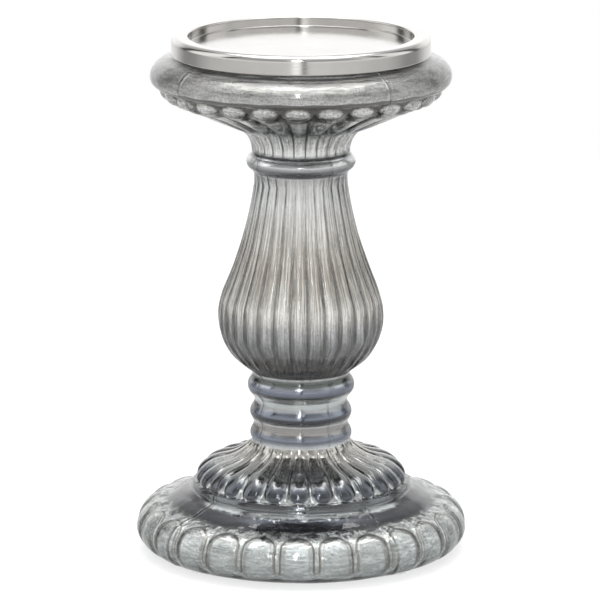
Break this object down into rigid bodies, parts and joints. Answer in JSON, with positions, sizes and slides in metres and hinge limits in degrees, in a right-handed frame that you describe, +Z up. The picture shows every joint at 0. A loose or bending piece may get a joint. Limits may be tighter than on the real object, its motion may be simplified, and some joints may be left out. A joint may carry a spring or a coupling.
{
  "type": "glass candlestick",
  "caption": "Tall silvered-glass candlestick with a ribbed bulb stem, petalled round foot and a shallow dish capped by a polished steel pan for a pillar candle.",
  "frame": {"origin": "centre of the foot on the surface it stands on", "axes": "+Z up along the turning axis; -Y is the side seen from the front"},
  "size_m": [0.16, 0.16, 0.251],
  "materials": {
    "silvered_glass": "clear moulded glass, silvered inside, mottled",
    "polished_steel": "spun and polished",
    "clear_adhesive": "clear cured silicone",
    "clear_pad": "clear soft polyurethane"
  },
  "bodies": {
    "root": {"glass_body": "silvered_glass", "candle_pan": "polished_steel", "rim_bond": "clear_adhesive", "foot_pads": "clear_pad"}
  },
  "joints": []
}
